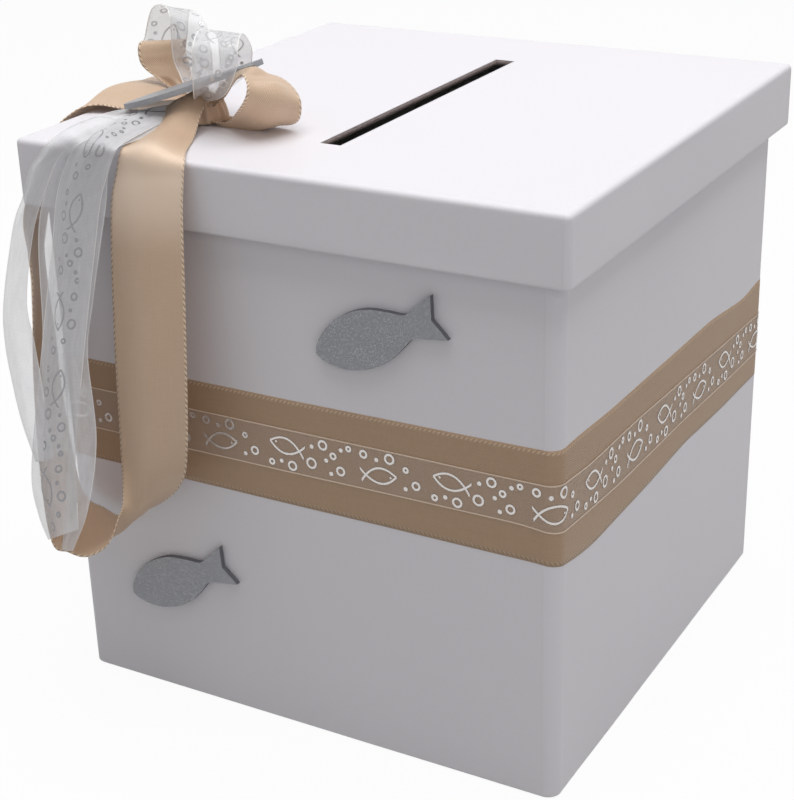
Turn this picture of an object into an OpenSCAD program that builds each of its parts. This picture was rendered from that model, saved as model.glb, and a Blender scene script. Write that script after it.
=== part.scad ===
// Square lift-off-lid card box with a posting slot, two ribbon bands, a ribbon bow and three wooden fish.
// Millimetres. +Z is up, the front wall faces -Y, and the origin is the centre of the underside.

/* [Box] */
// Outer width and depth of the box body over its paper
body_w = 200; // [180:1:240]
// Height from the underside to the top of the closed lid
total_h = 213; // [205:1:230]
// Thickness of the grey board
board_t = 2; // [1.5:0.1:2.5]
// Thickness of the covering and lining paper
paper_t = 0.3; // [0.2:0.05:0.4]
// Thickness of the kraft tape that holds the board corners
tape_t = 0.2; // [0.1:0.05:0.3]
// Length of each leg of the corner tape
tape_leg = 18; // [10:1:25]
// Width of the paper turned in over the edges
turn_in = 15; // [8:1:20]
// Rounding of the body's upright corners
body_corner_r = 5; // [2:0.5:6]

/* [Lid] */
// Distance that each lid side stands out past the body
lid_overhang = 5; // [4:0.5:8]
// Rounding of the lid's upright corners
lid_corner_r = 2; // [1:0.5:4]
// Height of the lid rim, outside
rim_h = 24; // [20:1:30]
// Length of the posting slot, from front to back
slot_l = 134; // [100:1:150]
// Width of the posting slot
slot_w = 8; // [6:0.5:12]

/* [Ribbon bands] */
// Width of the satin band round the body
satin_band_w = 40; // [30:1:40]
// Thickness of the satin band
satin_band_t = 0.25; // [0.2:0.05:0.35]
// Width of the organza band over it
organza_band_w = 16; // [10:1:20]
// Thickness of the organza band
organza_band_t = 0.2; // [0.1:0.05:0.25]
// Height of the satin band's lower edge on the front wall
band_z = 92; // [85:1:100]
// Drop of both bands towards the back
band_drop = 5; // [0:0.5:8]

/* [Bow] */
// Thickness of the satin ribbon in the bow
satin_t = 0.4; // [0.3:0.05:0.4]
// Thickness of the organza ribbon in the bow
organza_t = 0.3; // [0.2:0.05:0.3]
// Radius of the glue pad under the bow
pad_r = 8.5; // [8.5:0.1:9]
// Height of the glue pad's top above the lid
pad_h = 9; // [9:0.1:9.5]

/* [Wooden fish] */
// Thickness of the plywood
fish_t = 2; // [1.8:0.1:3]
// Thickness of the glue dots behind the fish on the front wall
glue_t = 0.5; // [0.3:0.1:0.6]

/* [Hidden] */
$fn = 48;

// Levels and half widths, from the outside in.
body_half = body_w / 2;
body_board_half = body_half - paper_t - tape_t;
body_inner_half = body_board_half - board_t;
body_board_r = body_corner_r - paper_t - tape_t;
floor_z = 2 * paper_t;
floor_top_z = floor_z + board_t;
lid_half = body_half + lid_overhang;
lid_board_half = lid_half - paper_t - tape_t;
lid_inner_half = lid_board_half - board_t;
lid_board_r = lid_corner_r - paper_t - tape_t;
// The lid's tapes stop below its rounded top edge.
lid_tape_drop = 3;
lid_top_board_z = total_h - paper_t - board_t;
lid_liner_z = lid_top_board_z - paper_t;
rim_z = total_h - rim_h;
body_top_z = lid_liner_z;
wall_top_z = body_top_z - paper_t;
wall_h = wall_top_z - floor_z;
rim_board_h = lid_top_board_z - rim_z - paper_t;
base_inset = 1.5;

// Bands: the organza lies centred on the satin.
organza_band_z = band_z + (satin_band_w - organza_band_w) / 2;
organza_half = body_half + satin_band_t;
band_outer_half = organza_half + organza_band_t;
band_end_tape_t = 0.1;
band_end_tape_w = 24;

// The bow is laid out at a lid corner of [-105, -105] and a lid top of 213, and moves with the lid's own.
bow_corner = 105;
bow_lid_top = 213;
bow_move = [bow_corner - lid_half, bow_corner - lid_half, total_h - bow_lid_top];
// The bow's centre on the lid, which every ribbon end runs into.
pad_centre = [-58, -58, bow_lid_top];
pad_round = 3;

// Half outline of a fish from nose to tail tip: distance along it, half height. The tail is notched.
fish_half_outline = [
    [0, 0], [1.6, 2.8], [5, 5.7], [10.3, 8.4], [18.5, 9.9], [25.8, 9.2], [33, 6.4], [38.3, 4.1], [42.7, 5.3], [50.5, 7.7]
];
fish_notch = [47.4, 0];
fish_curve_steps = 4;
upper_fish_nose = [13.2, rim_z - 36.5];
upper_fish_tilt = 23.4;
lower_fish_nose = [25.6 - body_half, 39.1];
lower_fish_tilt = 26.5;
bow_fish_nose = [-78, -76.2, 219.1];
bow_fish_roll = -5.5;
bow_fish_rise = 16.5;
bow_fish_turn = 26.1;
fish_glue_r = 4;
fish_glue_at = [13, 30];
bow_glue_at = [-55.5, -59.5, bow_lid_top];
bow_glue_r = 1.6;
bow_glue_top = 14.3;

// Ribbon routes: each row is a station, [left edge, right edge]. A smooth curve runs through each edge.
ribbon_steps = 4;
long_loop_route = [
    [[-63, -62, 214], [-54, -64, 214]], [[-65, -68, 214], [-52, -70, 214]],
    [[-66, -80, 214], [-45, -82, 214]], [[-62, -97, 214], [-38, -96, 214]],
    [[-58, -106, 214], [-31, -107, 214]], [[-60, -107, 206], [-30, -110, 208]],
    [[-63, -108, 192], [-30, -112, 195]], [[-65, -110, 150], [-28, -118, 156]],
    [[-64, -114, 106], [-29, -121, 116]], [[-62, -117, 96], [-36, -117, 100]],
    [[-60, -121, 88], [-51, -109, 86]], [[-60, -124, 84], [-66, -104, 76]],
    [[-60, -128, 79], [-76, -104, 72]], [[-63, -130, 74], [-84, -104, 74]],
    [[-70, -132, 70], [-89, -104, 75]], [[-78, -132, 70], [-92, -105, 80]],
    [[-87, -130, 71], [-94, -105, 90]], [[-94, -124, 94], [-97, -104, 116]],
    [[-98, -117, 130], [-108, -92, 134]], [[-99, -111, 161], [-116, -84, 156]],
    [[-101, -109, 173], [-119, -79, 168]], [[-106, -103, 186], [-123, -64, 182]],
    [[-109, -84, 206], [-110, -45, 199]], [[-106, -72, 214], [-107, -32, 214]],
    [[-100, -66, 216], [-101, -28, 218]], [[-88, -66, 216], [-88, -30, 218]],
    [[-76, -63, 216], [-76, -38, 217]], [[-65, -59, 216], [-62, -52, 216]]
];
satin_right_route = [
    [[-54, -61, 217], [-51, -56, 217]], [[-44, -64, 224], [-50, -53, 225]],
    [[-34, -72, 232], [-40, -52, 230]], [[-28, -76, 236], [-30, -52, 230]],
    [[-24, -79, 234], [-22, -55, 228]], [[-24, -80, 230], [-16, -59, 224]],
    [[-30, -76, 224], [-18, -58, 217]], [[-42, -66, 216], [-26, -56, 214]],
    [[-49, -65, 215], [-40, -56, 214]], [[-54, -61, 215], [-52, -55, 215]]
];
satin_left_route = [
    [[-63, -57, 218], [-58, -54, 219]], [[-83, -46, 221], [-70, -45, 220]],
    [[-94, -43, 225], [-75, -41, 227]], [[-97, -42, 229], [-77, -40, 232]],
    [[-98, -40, 233], [-79, -39, 235]], [[-98, -36, 233], [-80, -35, 235]],
    [[-96, -36, 228], [-80, -36, 229]], [[-86, -40, 221], [-75, -40, 220]],
    [[-62, -53, 217], [-57, -51, 218]]
];
org_back_route = [
    [[-60, -62, 220], [-57, -57, 221]], [[-73, -50, 226], [-61, -47, 226]],
    [[-77, -48, 232], [-61, -46, 233]], [[-77, -48, 244], [-62, -46, 240]],
    [[-80, -45, 248], [-65, -43, 245]], [[-88, -38, 248], [-74, -36, 246]],
    [[-98, -31, 244], [-82, -29, 244]], [[-104, -28, 234], [-86, -26, 234]],
    [[-104, -29, 229], [-86, -27, 229]], [[-92, -30, 226], [-76, -26, 226]],
    [[-58, -52, 220], [-54, -51, 220]]
];
org_front_route = [
    [[-57, -64, 221], [-53, -63, 221]], [[-47, -78, 229], [-36, -75, 228]],
    [[-45, -80, 240], [-29, -77, 238]], [[-46, -77, 246], [-30, -74, 245]],
    [[-52, -64, 247], [-37, -61, 246]], [[-56, -50, 242], [-44, -47, 240]],
    [[-60, -43, 234], [-47, -41, 234]], [[-60, -44, 226], [-49, -42, 227]],
    [[-57, -54, 221], [-53, -54, 221]]
];
tail_inner_route = [
    [[-65, -62, 215], [-60, -65, 215]], [[-84, -69, 215], [-67, -73, 215]],
    [[-85, -90, 214], [-67, -92, 214]], [[-80, -106, 214], [-64, -106, 214]],
    [[-84, -108, 209], [-68, -108, 209]], [[-91, -109, 195], [-73, -109, 195]],
    [[-94, -111, 179], [-76, -111, 180]], [[-92, -116, 150], [-79, -115, 150]],
    [[-92, -119, 134], [-80, -119, 134]], [[-91, -125, 103], [-80, -124, 106]]
];
tail_side_route = [
    [[-63, -62, 216], [-57, -64, 216]], [[-71, -75, 216], [-57, -79, 216]],
    [[-73, -92, 215], [-59, -95, 215]], [[-71, -107, 215], [-59, -107, 215]],
    [[-72, -109, 210], [-61, -109, 210]], [[-75, -110, 196], [-63, -110, 196]],
    [[-76, -112, 180], [-66, -112, 180]], [[-79, -115, 161], [-69, -115, 161]],
    [[-82, -118, 143], [-71, -118, 143]], [[-78, -125, 112], [-66, -124, 114]],
    [[-78, -131, 85], [-68, -130, 89]], [[-78, -135, 73], [-73, -135, 73]]
];
tail_print_route = [
    [[-64, -61, 217], [-58, -64, 217]], [[-78, -74, 217], [-60, -78, 217]],
    [[-78, -93, 216], [-60, -95, 216]], [[-73, -108, 216], [-57, -108, 216]],
    [[-77, -110, 211], [-59, -110, 211]], [[-83, -111, 198], [-64, -111, 198]],
    [[-86, -113, 180], [-67, -113, 181]], [[-90, -118, 149], [-71, -118, 150]],
    [[-93, -125, 115], [-73, -125, 118]], [[-93, -130, 95], [-73, -129, 102]],
    [[-89, -133, 83], [-71, -132, 90]], [[-84, -135, 75], [-70, -134, 82]]
];
tail_left_route = [
    [[-65, -59, 218], [-60, -63, 218]], [[-83, -75, 218], [-67, -77, 218]],
    [[-86, -95, 217], [-72, -95, 217]], [[-83, -110, 217], [-70, -110, 217]],
    [[-92, -112, 207], [-80, -111, 211]], [[-97, -113, 195], [-87, -112, 199]],
    [[-102, -114, 184], [-93, -114, 183]], [[-107, -118, 157], [-96, -118, 159]],
    [[-106, -121, 142], [-93, -120, 145]], [[-102, -124, 128], [-89, -123, 130]],
    [[-98, -126, 115], [-86, -126, 118]], [[-91, -129, 102], [-82, -129, 105]]
];

// Smooth curve through four neighbouring stations, at t from 0 to 1 between the middle two.
function between(a, b, c, d, t) =
    0.5 * (2 * b + (c - a) * t + (2 * a - 5 * b + 4 * c - d) * t * t + (3 * b - a - 3 * c + d) * t * t * t);

// Station i of a route, continued in a straight line past both ends.
function station(route, i) =
    i < 0 ? 2 * route[0] - route[1]
    : i >= len(route) ? 2 * route[len(route) - 1] - route[len(route) - 2]
    : route[i];

// All samples of the smooth curve, with a number of steps between each two stations.
function smooth(route, steps) = [
    for (i = [0 : len(route) - 2], k = [0 : steps - 1])
        between(station(route, i - 1), route[i], route[i + 1], station(route, i + 2), k / steps),
    route[len(route) - 1]
];

function middle(pair) = (pair[0] + pair[1]) / 2;
function unit(v) = v / norm(v);

// Direction square to the ribbon at sample i.
function ribbon_normal(rows, i) =
    let (
        before = middle(rows[max(i - 1, 0)]),
        after = middle(rows[min(i + 1, len(rows) - 1)])
    )
    unit(cross(after - before, rows[i][1] - rows[i][0]));

// A flat ribbon of thickness t swept along a route, as one closed solid.
module ribbon(route, t) {
    rows = smooth(route, ribbon_steps);
    last = len(rows) - 1;
    points = [
        for (i = [0 : last])
            let (up = ribbon_normal(rows, i) * t / 2)
            for (p = [rows[i][0] + up, rows[i][1] + up, rows[i][1] - up, rows[i][0] - up]) p
    ];
    sides = [
        for (i = [0 : last - 1], k = [0 : 3])
            let (a = 4 * i + k, b = 4 * i + (k + 1) % 4)
            // The under face takes the upper one's diagonal, so a twisted ribbon keeps its thickness.
            for (face = k == 2
                ? [[a, b, a + 4], [b, b + 4, a + 4]]
                : [[a, b, b + 4], [a, b + 4, a + 4]]
            ) face
    ];
    first_cap = [[2, 1, 0], [3, 2, 0]];
    last_cap = [for (face = first_cap) [for (k = [2 : -1 : 0]) face[k] + 4 * last]];
    polyhedron(points = points, faces = concat(sides, first_cap, last_cap), convexity = 12);
}

// Square outline about the centre, with its corners rounded to radius r, or sharp at 0.
module outline(half, r) {
    if (r > 0) {
        square([2 * half, 2 * (half - r)], center = true);
        square([2 * (half - r), 2 * half], center = true);
        for (x = [-1, 1], y = [-1, 1]) {
            translate([x * (half - r), y * (half - r)])
                circle(r);
        }
    } else {
        square(2 * half, center = true);
    }
}

// A square ring of paper between two half widths; r rounds its outer corners and inner_r its inner ones.
module ring(outer, inner, low, high, r = 0, inner_r = 0) {
    translate([0, 0, low])
        linear_extrude(high - low)
            difference() {
                outline(outer, r);
                outline(inner, inner_r);
            }
}

// A square sheet of given half width and thickness, with its underside at a level.
module square_sheet(half, low, thickness, r = 0) {
    translate([0, 0, low])
        linear_extrude(thickness)
            outline(half, r);
}

// Cutter for the posting slot.
module slot_cut() {
    translate([-slot_w / 2, -slot_l / 2, total_h - 20])
        cube([slot_w, slot_l, 40]);
}

// Board along X (front or back), its ends sanded to the corner's rounding.
module board_along_x(half, side, low, height, r) {
    translate([0, 0, low])
        linear_extrude(height)
            intersection() {
                translate([-half, side > 0 ? half - board_t : -half])
                    square([2 * half, board_t]);
                outline(half, r);
            }
}

// Board along Y (left or right), which fits between the other two.
module board_along_y(half, side, low, height, r) {
    translate([0, 0, low])
        linear_extrude(height)
            intersection() {
                translate([side > 0 ? half - board_t : -half, -half + board_t])
                    square([board_t, 2 * (half - board_t)]);
                outline(half, r);
            }
}

// Four tapes round the outside of the board corners.
module corner_tapes(half, low, height, r) {
    translate([0, 0, low])
        linear_extrude(height)
            intersection() {
                difference() {
                    outline(half + tape_t, r + tape_t);
                    outline(half, r);
                }
                for (x = [-1, 1], y = [-1, 1]) {
                    translate([x * (half + tape_t - tape_leg / 2), y * (half + tape_t - tape_leg / 2)])
                        square(tape_leg, center = true);
                }
            }
}

// One side of a band, and the corner at its right end. Its height may change along the side.
module band_side(half, t, width, left_z, right_z) {
    r = body_corner_r + half - body_half;
    flat = half - r;
    translate([0, -half, 0])
        rotate([90, 0, 0])
            linear_extrude(t)
                polygon([
                    [-flat, left_z], [flat, right_z], [flat, right_z + width], [-flat, left_z + width]
                ]);
    translate([flat, -flat, right_z])
        rotate([0, 0, -90])
            rotate_extrude(angle = 90)
                translate([r, 0])
                    square([t, width]);
}

// A band right round the body: level on the front, and lower at the back.
module band(half, t, width, z) {
    back_z = z - band_drop;
    band_side(half, t, width, z, z);
    rotate([0, 0, 90])
        band_side(half, t, width, z, back_z);
    rotate([0, 0, 180])
        band_side(half, t, width, back_z, back_z);
    rotate([0, 0, 270])
        band_side(half, t, width, back_z, z);
}

// Fish with its nose at the origin and its tail along X.
module fish() {
    edge = smooth(fish_half_outline, fish_curve_steps);
    last = len(edge) - 1;
    linear_extrude(fish_t)
        polygon(concat(edge, [fish_notch], [for (i = [last : -1 : 1]) [edge[i][0], -edge[i][1]]]));
}

// Turns a flat shape so that it stands on the front wall, a gap off it, nose at [x, z].
module on_front_wall(nose, tilt, gap) {
    translate([nose[0], -body_half - gap, nose[1]])
        rotate([90, 0, 0])
            rotate([0, 0, tilt])
                children();
}

// ---- Body ----

module base_paper() {
    color("white")
        square_sheet(body_half - base_inset, 0, paper_t, body_corner_r - base_inset);
}

module base_board() {
    color("rosybrown")
        square_sheet(body_inner_half, floor_z, board_t);
}

module wall_front_board() {
    color("rosybrown")
        board_along_x(body_board_half, -1, floor_z, wall_h, body_board_r);
}

module wall_back_board() {
    color("rosybrown")
        board_along_x(body_board_half, 1, floor_z, wall_h, body_board_r);
}

module wall_left_board() {
    color("rosybrown")
        board_along_y(body_board_half, -1, floor_z, wall_h, body_board_r);
}

module wall_right_board() {
    color("rosybrown")
        board_along_y(body_board_half, 1, floor_z, wall_h, body_board_r);
}

module body_corner_tapes() {
    color("tan")
        corner_tapes(body_board_half, floor_z, wall_h, body_board_r);
}

// The covering paper: outside, over the top edge, down inside, and turned under the base.
module body_wrap() {
    color("white") {
        ring(body_half, body_half - paper_t, paper_t, body_top_z, body_corner_r, body_corner_r - paper_t);
        ring(body_half, body_inner_half - paper_t, wall_top_z, body_top_z, body_corner_r);
        ring(body_inner_half, body_inner_half - paper_t, wall_top_z - turn_in, body_top_z);
        ring(body_half, body_half - turn_in, paper_t, floor_z, body_corner_r);
    }
}

module body_liner_floor() {
    color("white")
        square_sheet(body_inner_half - paper_t, floor_top_z, paper_t);
}

module body_liner_walls() {
    color("white")
        ring(body_inner_half, body_inner_half - paper_t, floor_top_z + paper_t, wall_top_z - turn_in);
}

module satin_band() {
    color("tan")
        band(body_half, satin_band_t, satin_band_w, band_z);
}

module organza_band() {
    color("silver")
        band(organza_half, organza_band_t, organza_band_w, organza_band_z);
}

// Clear tape over the joint of the organza band, at the middle of the back wall.
module band_end_tape() {
    color("gainsboro")
        translate([-band_end_tape_w / 2, band_outer_half, organza_band_z - band_drop])
            cube([band_end_tape_w, band_end_tape_t, organza_band_w]);
}

module upper_fish() {
    color("gray")
        on_front_wall(upper_fish_nose, upper_fish_tilt, glue_t)
            fish();
}

module lower_fish() {
    color("gray")
        on_front_wall(lower_fish_nose, lower_fish_tilt, glue_t)
            fish();
}

module fish_glue_dots() {
    color("ivory") {
        for (along = fish_glue_at) {
            on_front_wall(upper_fish_nose, upper_fish_tilt, 0)
                translate([along, 0, 0])
                    cylinder(h = glue_t, r = fish_glue_r);
            on_front_wall(lower_fish_nose, lower_fish_tilt, 0)
                translate([along, 0, 0])
                    cylinder(h = glue_t, r = fish_glue_r);
        }
    }
}

// ---- Lid ----

module lid_top_board() {
    color("rosybrown")
        difference() {
            square_sheet(lid_board_half, lid_top_board_z, board_t, lid_board_r);
            slot_cut();
        }
}

module lid_rim_front_board() {
    color("rosybrown")
        board_along_x(lid_board_half, -1, rim_z + paper_t, rim_board_h, lid_board_r);
}

module lid_rim_back_board() {
    color("rosybrown")
        board_along_x(lid_board_half, 1, rim_z + paper_t, rim_board_h, lid_board_r);
}

module lid_rim_left_board() {
    color("rosybrown")
        board_along_y(lid_board_half, -1, rim_z + paper_t, rim_board_h, lid_board_r);
}

module lid_rim_right_board() {
    color("rosybrown")
        board_along_y(lid_board_half, 1, rim_z + paper_t, rim_board_h, lid_board_r);
}

module lid_corner_tapes() {
    color("tan")
        corner_tapes(lid_board_half, rim_z + paper_t, rim_h - lid_tape_drop, lid_board_r);
}

// The lid's covering paper: top, rim, under the rim's edge and up inside it.
module lid_wrap() {
    color("white") {
        difference() {
            square_sheet(lid_half, total_h - paper_t, paper_t, lid_corner_r);
            slot_cut();
        }
        ring(lid_half, lid_half - paper_t, rim_z, total_h, lid_corner_r, lid_corner_r - paper_t);
        ring(lid_half, lid_inner_half - paper_t, rim_z, rim_z + paper_t, lid_corner_r);
        ring(lid_inner_half, lid_inner_half - paper_t, rim_z, rim_z + turn_in);
    }
}

module lid_liner() {
    color("white")
        difference() {
            square_sheet(lid_inner_half, lid_liner_z, paper_t);
            slot_cut();
        }
}

// ---- Bow, glued to the lid ----

// A round pad of glue with a rounded shoulder.
module bow_glue_pad() {
    color("ivory")
        translate(bow_move + pad_centre)
            rotate_extrude()
                union() {
                    square([pad_r - pad_round, pad_h]);
                    square([pad_r, pad_h - pad_round]);
                    intersection() {
                        translate([pad_r - pad_round, pad_h - pad_round])
                            circle(pad_round);
                        square([pad_r, pad_h]);
                    }
                }
}

module satin_long_loop() {
    color("tan")
        translate(bow_move)
            ribbon(long_loop_route, satin_t);
}

module satin_right_loop() {
    color("tan")
        translate(bow_move)
            ribbon(satin_right_route, satin_t);
}

module satin_left_loop() {
    color("tan")
        translate(bow_move)
            ribbon(satin_left_route, satin_t);
}

module organza_back_loop() {
    color("silver")
        translate(bow_move)
            ribbon(org_back_route, organza_t);
}

module organza_front_loop() {
    color("silver")
        translate(bow_move)
            ribbon(org_front_route, organza_t);
}

module organza_tail_inner() {
    color("silver")
        translate(bow_move)
            ribbon(tail_inner_route, organza_t);
}

module organza_tail_side() {
    color("silver")
        translate(bow_move)
            ribbon(tail_side_route, organza_t);
}

module organza_tail_printed() {
    color("silver")
        translate(bow_move)
            ribbon(tail_print_route, organza_t);
}

module organza_tail_left() {
    color("silver")
        translate(bow_move)
            ribbon(tail_left_route, organza_t);
}

// The third fish, lying in the bow with its tail raised through the front organza loop.
module bow_fish() {
    color("gray")
        translate(bow_move + bow_fish_nose)
            rotate([bow_fish_roll, -bow_fish_rise, bow_fish_turn])
                fish();
}

// A stem of glue from the pad up to the third fish.
module bow_fish_glue() {
    color("ivory")
        translate(bow_move + bow_glue_at + [0, 0, pad_h])
            cylinder(h = bow_glue_top - pad_h, r = bow_glue_r);
}

base_paper();
base_board();
wall_front_board();
wall_back_board();
wall_left_board();
wall_right_board();
body_corner_tapes();
body_wrap();
body_liner_floor();
body_liner_walls();
satin_band();
organza_band();
band_end_tape();
upper_fish();
lower_fish();
fish_glue_dots();
lid_top_board();
lid_rim_front_board();
lid_rim_back_board();
lid_rim_left_board();
lid_rim_right_board();
lid_corner_tapes();
lid_wrap();
lid_liner();
bow_glue_pad();
satin_long_loop();
satin_right_loop();
satin_left_loop();
organza_back_loop();
organza_front_loop();
organza_tail_inner();
organza_tail_side();
organza_tail_printed();
organza_tail_left();
bow_fish();
bow_fish_glue();
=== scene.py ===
"""Wedding card box: white paper-covered box and lid, ribbon bands, a gathered bow and wooden fish.

Shapes are worked out in millimetres; surface(), thicken() and wooden_fish() turn them into metres.
"""
import math

import bpy
import numpy as np
from mathutils import Matrix


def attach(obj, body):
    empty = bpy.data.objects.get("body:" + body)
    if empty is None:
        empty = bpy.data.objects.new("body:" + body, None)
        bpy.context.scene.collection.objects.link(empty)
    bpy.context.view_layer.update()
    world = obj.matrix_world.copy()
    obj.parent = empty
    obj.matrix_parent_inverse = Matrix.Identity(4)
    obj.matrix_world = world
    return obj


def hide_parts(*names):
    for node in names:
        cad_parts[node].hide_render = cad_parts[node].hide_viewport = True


MM = 0.001
FULL_TURN = 2 * math.pi
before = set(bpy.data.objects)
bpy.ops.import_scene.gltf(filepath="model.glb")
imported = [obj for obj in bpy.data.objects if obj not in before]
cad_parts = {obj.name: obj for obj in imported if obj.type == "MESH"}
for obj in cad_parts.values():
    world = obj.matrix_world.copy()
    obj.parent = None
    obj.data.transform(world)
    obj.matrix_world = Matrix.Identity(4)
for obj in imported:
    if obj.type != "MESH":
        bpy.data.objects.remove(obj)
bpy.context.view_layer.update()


# ---------------------------------------------------------------- node helpers

def feed(tree, value, socket):
    """Links a socket, or sets a plain number or colour."""
    if isinstance(value, bpy.types.NodeSocket):
        tree.links.new(value, socket)
    else:
        socket.default_value = value


def maths(tree, operation, *values):
    """One Math node."""
    node = tree.nodes.new("ShaderNodeMath")
    node.operation = operation
    for value, socket in zip(values, node.inputs):
        feed(tree, value, socket)
    return node.outputs[0]


def chain_of(operation):
    """A function that joins its values by one kind of Math node, from left to right."""
    def chain(tree, *values):
        total = values[0]
        for value in values[1:]:
            total = maths(tree, operation, total, value)
        return total
    return chain


added, minus, times, larger = (chain_of(kind) for kind in ("ADD", "SUBTRACT", "MULTIPLY", "MAXIMUM"))


def squares(tree, x, y):
    """Sum of two squares."""
    return added(tree, times(tree, x, x), times(tree, y, y))


def ramp(tree, value, low, high, start=0.0, end=1.0):
    """Smooth step from start to end while value goes from low to high."""
    node = tree.nodes.new("ShaderNodeMapRange")
    node.interpolation_type = "SMOOTHSTEP"
    for socket, number in zip(node.inputs, (value, low, high, start, end)):
        feed(tree, number, socket)
    return node.outputs[0]


def blended(tree, factor, first, second):
    """Mixes two colours."""
    node = tree.nodes.new("ShaderNodeMix")
    node.data_type = "RGBA"
    feed(tree, factor, node.inputs[0])
    feed(tree, first, node.inputs[6])
    feed(tree, second, node.inputs[7])
    return node.outputs[2]


def vectored(tree, x, y, z=0.0):
    """Three values as one vector."""
    node = tree.nodes.new("ShaderNodeCombineXYZ")
    for value, socket in zip((x, y, z), node.inputs):
        feed(tree, value, socket)
    return node.outputs[0]


def parts_of(tree, vector):
    """The three values of a vector."""
    node = tree.nodes.new("ShaderNodeSeparateXYZ")
    feed(tree, vector, node.inputs[0])
    return node.outputs[0], node.outputs[1], node.outputs[2]


def noise(tree, place, scale, detail=2.0, roughness=0.5):
    """Soft noise, about 0 to 1."""
    node = tree.nodes.new("ShaderNodeTexNoise")
    feed(tree, place, node.inputs["Vector"])
    feed(tree, scale, node.inputs["Scale"])
    node.inputs["Detail"].default_value = detail
    node.inputs["Roughness"].default_value = roughness
    return node.outputs[0]


def stretched(tree, place, x, y, z):
    """A vector with each part multiplied."""
    node = tree.nodes.new("ShaderNodeVectorMath")
    node.operation = "MULTIPLY"
    feed(tree, place, node.inputs[0])
    node.inputs[1].default_value = (x, y, z)
    return node.outputs[0]


def new_group(name, inputs, outputs):
    """Empty shader node group. inputs gives each name its usual value, or None for a vector."""
    tree = bpy.data.node_groups.new(name, "ShaderNodeTree")
    for label, value in inputs.items():
        kind = "NodeSocketVector" if value is None else "NodeSocketFloat"
        socket = tree.interface.new_socket(label, in_out="INPUT", socket_type=kind)
        if value is not None:
            socket.default_value = value
    for label in outputs:
        tree.interface.new_socket(label, in_out="OUTPUT", socket_type="NodeSocketFloat")
    start = tree.nodes.new("NodeGroupInput")
    end = tree.nodes.new("NodeGroupOutput")
    return tree, start.outputs, end.inputs


def use(tree, group, **values):
    """Places a node group and returns its outputs."""
    node = tree.nodes.new("ShaderNodeGroup")
    node.node_tree = group
    for label, value in values.items():
        feed(tree, value, node.inputs[label.replace("_", " ")])
    return node.outputs


def new_material(name, **settings):
    """Principled material; settings are values set on the shader's own sockets."""
    material = bpy.data.materials.new(name)
    material.use_nodes = True
    tree = material.node_tree
    shader = tree.nodes["Principled BSDF"]
    for label, value in settings.items():
        shader.inputs[label.replace("_", " ")].default_value = value
    return material, tree, shader


def coat(tree, shader, colour, height, strength, distance):
    """Gives a shader its colour, and its fine relief by a bump of that height."""
    feed(tree, colour, shader.inputs["Base Color"])
    node = tree.nodes.new("ShaderNodeBump")
    node.inputs["Strength"].default_value = strength
    node.inputs["Distance"].default_value = distance
    feed(tree, height, node.inputs["Height"])
    feed(tree, node.outputs[0], shader.inputs["Normal"])


def object_place(tree):
    """Object coordinates, in metres."""
    return tree.nodes.new("ShaderNodeTexCoord").outputs["Object"]


def cloth_place(tree):
    """The ribbon's own coordinates in millimetres: across, along."""
    node = tree.nodes.new("ShaderNodeUVMap")
    node.uv_map = "cloth"
    across, along, _ = parts_of(tree, stretched(tree, node.outputs[0], 1 / MM, 1 / MM, 1))
    return across, along


# ---------------------------------------------------------------- shared effects

CLOTH = {"Across": 0.0, "Along": 0.0}
STRIP = CLOTH | {"Width": 16.0}
MARK = CLOTH | {"At across": 0.0, "At along": 0.0, "Line": 0.5, "Repeat": 64.0}


def from_edge(tree, given):
    """Distance to the strip's nearer edge."""
    return maths(tree, "MINIMUM", given["Across"], minus(tree, given["Width"], given["Across"]))


def from_mark(tree, given):
    """Distances along and across to the nearest copy of a mark that repeats along the strip."""
    half = times(tree, given["Repeat"], 0.5)
    shifted = added(tree, minus(tree, given["Along"], given["At along"]), half)
    along = minus(tree, maths(tree, "FLOORED_MODULO", shifted, given["Repeat"]), half)
    return along, minus(tree, given["Across"], given["At across"])


def make_paper_grain():
    """Paper grain from two noises: fine fibres, of the scale Size per metre, and a broad cloudiness."""
    tree, given, out = new_group(
        "paper grain", {"Place": None, "Size": 900.0, "Cloud": 18.0}, ["Fleck", "Height"])
    fine = noise(tree, given["Place"], given["Size"], 3.0, 0.6)
    broad = noise(tree, given["Place"], given["Cloud"])
    feed(tree, added(tree, times(tree, fine, 0.45), times(tree, broad, 0.55)), out["Fleck"])
    feed(tree, added(tree, times(tree, broad, 2.5), fine), out["Height"])
    return tree


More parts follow.
